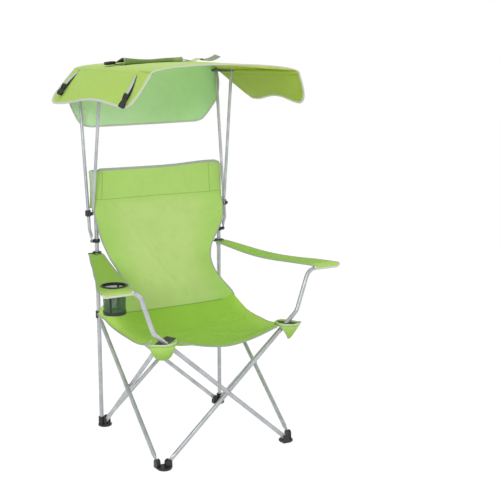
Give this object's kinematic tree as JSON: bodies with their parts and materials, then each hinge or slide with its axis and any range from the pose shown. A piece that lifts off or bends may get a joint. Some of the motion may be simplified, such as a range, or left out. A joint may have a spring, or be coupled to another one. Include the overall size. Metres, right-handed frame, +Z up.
{
  "type": "folding canopy beach chair",
  "caption": "Quad-fold sling beach chair with a tall backrest, flared armrests with a cup holder, and an adjustable sun canopy on poles hinged to the rear posts.",
  "frame": {"origin": "middle of the chair's bounding box on the floor", "axes": "+Z up; the chair faces -Y; +X is to the right of a viewer who faces the chair"},
  "size_m": [0.979, 0.6632, 1.4286],
  "materials": {
    "tube": "satin silver-grey",
    "rivet": "bright",
    "plastic": "moulded",
    "back_cloth": "woven, light green",
    "seat_cloth": "woven, green",
    "arm_cloth": "woven, green",
    "canopy_cloth": "woven, light green",
    "rear_flap_cloth": "woven, green",
    "binding": "grey tape",
    "webbing": "black webbing",
    "cup_mesh": "dark mesh"
  },
  "bodies": {
    "left_post": {"foot_rear_left": "plastic", "post_left": "tube", "post_cap_left": "plastic", "canopy_bracket_left": "plastic", "collar_left": "plastic", "backrest": "back_cloth"},
    "rear_bar_a": {"rear_bar_from_left": "tube", "cross_rivet_rear": "rivet"},
    "rear_bar_b": {"rear_bar_from_right": "tube"},
    "right_post": {"foot_rear_right": "plastic", "post_right": "tube", "post_cap_right": "plastic", "canopy_bracket_right": "plastic", "collar_right": "plastic"},
    "left_slider": {"slider_left": "plastic"},
    "right_slider": {"slider_right": "plastic"},
    "left_side_a": {"left_bar_rear": "tube", "cross_rivet_left": "rivet"},
    "left_side_b": {"left_bar_front": "tube"},
    "left_front_foot": {"foot_front_left": "plastic"},
    "left_corner": {"corner_joint_left": "plastic", "pocket_left": "seat_cloth"},
    "right_side_a": {"right_bar_rear": "tube", "cross_rivet_right": "rivet"},
    "right_side_b": {"right_bar_front": "tube"},
    "right_front_foot": {"foot_front_right": "plastic"},
    "right_corner": {"corner_joint_right": "plastic", "pocket_right": "seat_cloth"},
    "front_tube_a": {"front_bar_right_arm": "tube", "cross_rivet_front": "rivet", "armrest_right": "arm_cloth"},
    "front_tube_b": {"front_bar_left_arm": "tube", "armrest_left": "arm_cloth", "cup_ring": "plastic", "cup_pocket": "cup_mesh", "cup_base_ring": "plastic"},
    "seat_rear_half": {"seat": "seat_cloth"},
    "seat_front_half": {"seat_front_binding": "binding"},
    "canopy_pole_left": {"canopy_rear_pole_left": "tube"},
    "canopy_slide_left": {"canopy_slider_left": "plastic"},
    "canopy_prop_left": {"canopy_front_pole_left": "tube"},
    "canopy_pole_right": {"canopy_rear_pole_right": "tube"},
    "canopy_slide_right": {"canopy_slider_right": "plastic"},
    "canopy_prop_right": {"canopy_front_pole_right": "tube"},
    "canopy_hood": {"canopy_rail_left": "tube", "canopy_cover": "canopy_cloth", "canopy_rear_flap": "rear_flap_cloth", "strap_rear": "webbing", "buckle_rear": "plastic", "strap_front": "webbing", "buckle_front": "plastic", "carry_flap": "canopy_cloth", "carry_buckle": "plastic", "carry_tab": "webbing"},
    "canopy_rail_r": {"canopy_rail_right": "tube"}
  },
  "joints": [
    {"name": "fold", "type": "hinge", "parent": "left_post", "child": "rear_bar_a", "pos_m": [-0.243, 0.2548, 0.022], "axis": [0, -1, 0], "range_deg": [0, 37.5], "deforming": ["backrest", "seat", "seat_front_binding", "armrest_left", "armrest_right", "pocket_left", "pocket_right", "canopy_cover", "canopy_rear_flap"]},
    {"name": "rear_cross", "type": "hinge", "parent": "rear_bar_a", "child": "rear_bar_b", "pos_m": [0, 0.2458, 0.237], "axis": [0, 1, 0], "range_deg": [0, 75.2]},
    {"name": "right_post_foot_pivot", "type": "hinge", "parent": "rear_bar_b", "child": "right_post", "pos_m": [0.243, 0.2368, 0.022], "axis": [0, -1, 0], "range_deg": [0, 37.7]},
    {"name": "right_slider_pivot", "type": "hinge", "parent": "rear_bar_a", "child": "right_slider", "pos_m": [0.243, 0.2548, 0.452], "axis": [0, 1, 0], "range_deg": [0, 37.7]},
    {"name": "left_slider_pivot", "type": "hinge", "parent": "rear_bar_b", "child": "left_slider", "pos_m": [-0.243, 0.2368, 0.452], "axis": [0, -1, 0], "range_deg": [0, 37.7]},
    {"name": "left_side_foot_pivot", "type": "hinge", "parent": "left_post", "child": "left_side_a", "pos_m": [-0.26, 0.2258, 0.022], "axis": [-1, 0, 0], "range_deg": [0, 37.7]},
    {"name": "left_side_cross", "type": "hinge", "parent": "left_side_a", "child": "left_side_b", "pos_m": [-0.269, -0.0172, 0.237], "axis": [1, 0, 0], "range_deg": [0, 75.2]},
    {"name": "left_front_foot_pivot", "type": "hinge", "parent": "left_side_b", "child": "left_front_foot", "pos_m": [-0.278, -0.2602, 0.022], "axis": [-1, 0, 0], "range_deg": [0, 37.7]},
    {"name": "left_corner_pivot", "type": "hinge", "parent": "left_side_a", "child": "left_corner", "pos_m": [-0.26, -0.2602, 0.452], "axis": [1, 0, 0], "range_deg": [0, 37.7]},
    {"name": "right_side_foot_pivot", "type": "hinge", "parent": "right_post", "child": "right_side_a", "pos_m": [0.26, 0.2258, 0.022], "axis": [-1, 0, 0], "range_deg": [0, 37.7]},
    {"name": "right_side_cross", "type": "hinge", "parent": "right_side_a", "child": "right_side_b", "pos_m": [0.269, -0.0172, 0.237], "axis": [1, 0, 0], "range_deg": [0, 75.2]},
    {"name": "right_front_foot_pivot", "type": "hinge", "parent": "right_side_b", "child": "right_front_foot", "pos_m": [0.278, -0.2602, 0.022], "axis": [-1, 0, 0], "range_deg": [0, 37.7]},
    {"name": "right_corner_pivot", "type": "hinge", "parent": "right_side_a", "child": "right_corner", "pos_m": [0.26, -0.2602, 0.452], "axis": [1, 0, 0], "range_deg": [0, 37.7]},
    {"name": "front_foot_cross_pivot", "type": "hinge", "parent": "left_front_foot", "child": "front_tube_a", "pos_m": [-0.243, -0.2792, 0.022], "axis": [0, -1, 0], "range_deg": [0, 37.7]},
    {"name": "front_cross", "type": "hinge", "parent": "front_tube_a", "child": "front_tube_b", "pos_m": [0, -0.2882, 0.237], "axis": [0, 1, 0], "range_deg": [0, 75.2]},
    {"name": "seat_rear_drop", "type": "hinge", "parent": "left_slider", "child": "seat_rear_half", "pos_m": [0, 0.2298, 0.4685], "axis": [1, 0, 0], "range_deg": [0, 75.2]},
    {"name": "seat_front_drop", "type": "hinge", "parent": "left_corner", "child": "seat_front_half", "pos_m": [0, -0.2882, 0.44], "axis": [-1, 0, 0], "range_deg": [0, 75.2]},
    {"name": "canopy_tilt_left", "type": "hinge", "parent": "left_post", "child": "canopy_pole_left", "pos_m": [-0.291, 0.2438, 0.742], "axis": [-1, 0, 0], "range_deg": [0, 35]},
    {"name": "canopy_tilt_right", "type": "hinge", "parent": "right_post", "child": "canopy_pole_right", "pos_m": [0.291, 0.2438, 0.742], "axis": [-1, 0, 0], "range_deg": [0, 35.2]},
    {"name": "canopy_slide_left", "type": "slide", "parent": "canopy_pole_left", "child": "canopy_slide_left", "axis": [0, 0.1141, 0.9935], "range_m": [-0.045, 0]},
    {"name": "canopy_slide_right", "type": "slide", "parent": "canopy_pole_right", "child": "canopy_slide_right", "axis": [0, 0.1141, 0.9935], "range_m": [-0.0452, 0]},
    {"name": "canopy_hood_pivot", "type": "hinge", "parent": "canopy_pole_left", "child": "canopy_hood", "pos_m": [-0.2865, 0.3118, 1.38], "axis": [1, 0, 0], "range_deg": [0, 15.9]},
    {"name": "canopy_rail_pivot_right", "type": "hinge", "parent": "canopy_pole_right", "child": "canopy_rail_r", "pos_m": [0.2865, 0.3118, 1.38], "axis": [1, 0, 0], "range_deg": [0, 15.9]},
    {"name": "canopy_prop_pivot_left", "type": "hinge", "parent": "canopy_slide_left", "child": "canopy_prop_left", "pos_m": [-0.288, 0.2328, 0.849], "axis": [1, 0, 0], "range_deg": [-1.4, 0]},
    {"name": "canopy_prop_pivot_right", "type": "hinge", "parent": "canopy_slide_right", "child": "canopy_prop_right", "pos_m": [0.288, 0.2328, 0.849], "axis": [1, 0, 0], "range_deg": [-1.4, 0]}
  ],
  "couplings": [
    {"joint": "rear_cross", "follows": "fold", "ratio": 2},
    {"joint": "right_post_foot_pivot", "follows": "fold", "ratio": 1},
    {"joint": "right_slider_pivot", "follows": "fold", "ratio": 1},
    {"joint": "left_slider_pivot", "follows": "fold", "ratio": 1},
    {"joint": "left_side_foot_pivot", "follows": "fold", "ratio": 1},
    {"joint": "left_side_cross", "follows": "fold", "ratio": 2},
    {"joint": "left_front_foot_pivot", "follows": "fold", "ratio": 1},
    {"joint": "left_corner_pivot", "follows": "fold", "ratio": 1},
    {"joint": "right_side_foot_pivot", "follows": "fold", "ratio": 1},
    {"joint": "right_side_cross", "follows": "fold", "ratio": 2},
    {"joint": "right_front_foot_pivot", "follows": "fold", "ratio": 1},
    {"joint": "right_corner_pivot", "follows": "fold", "ratio": 1},
    {"joint": "front_foot_cross_pivot", "follows": "fold", "ratio": 1},
    {"joint": "front_cross", "follows": "fold", "ratio": 2},
    {"joint": "seat_rear_drop", "follows": "fold", "ratio": 2},
    {"joint": "seat_front_drop", "follows": "fold", "ratio": 2},
    {"joint": "canopy_tilt_right", "follows": "canopy_tilt_left", "ratio": 1},
    {"joint": "canopy_slide_right", "follows": "canopy_slide_left", "ratio": 1},
    {"joint": "canopy_hood_pivot", "follows": "canopy_slide_left", "rad_per_m": -5.985},
    {"joint": "canopy_rail_pivot_right", "follows": "canopy_slide_left", "rad_per_m": -5.985},
    {"joint": "canopy_prop_pivot_left", "follows": "canopy_slide_left", "rad_per_m": 0.42},
    {"joint": "canopy_prop_pivot_right", "follows": "canopy_slide_left", "rad_per_m": 0.42}
  ]
}
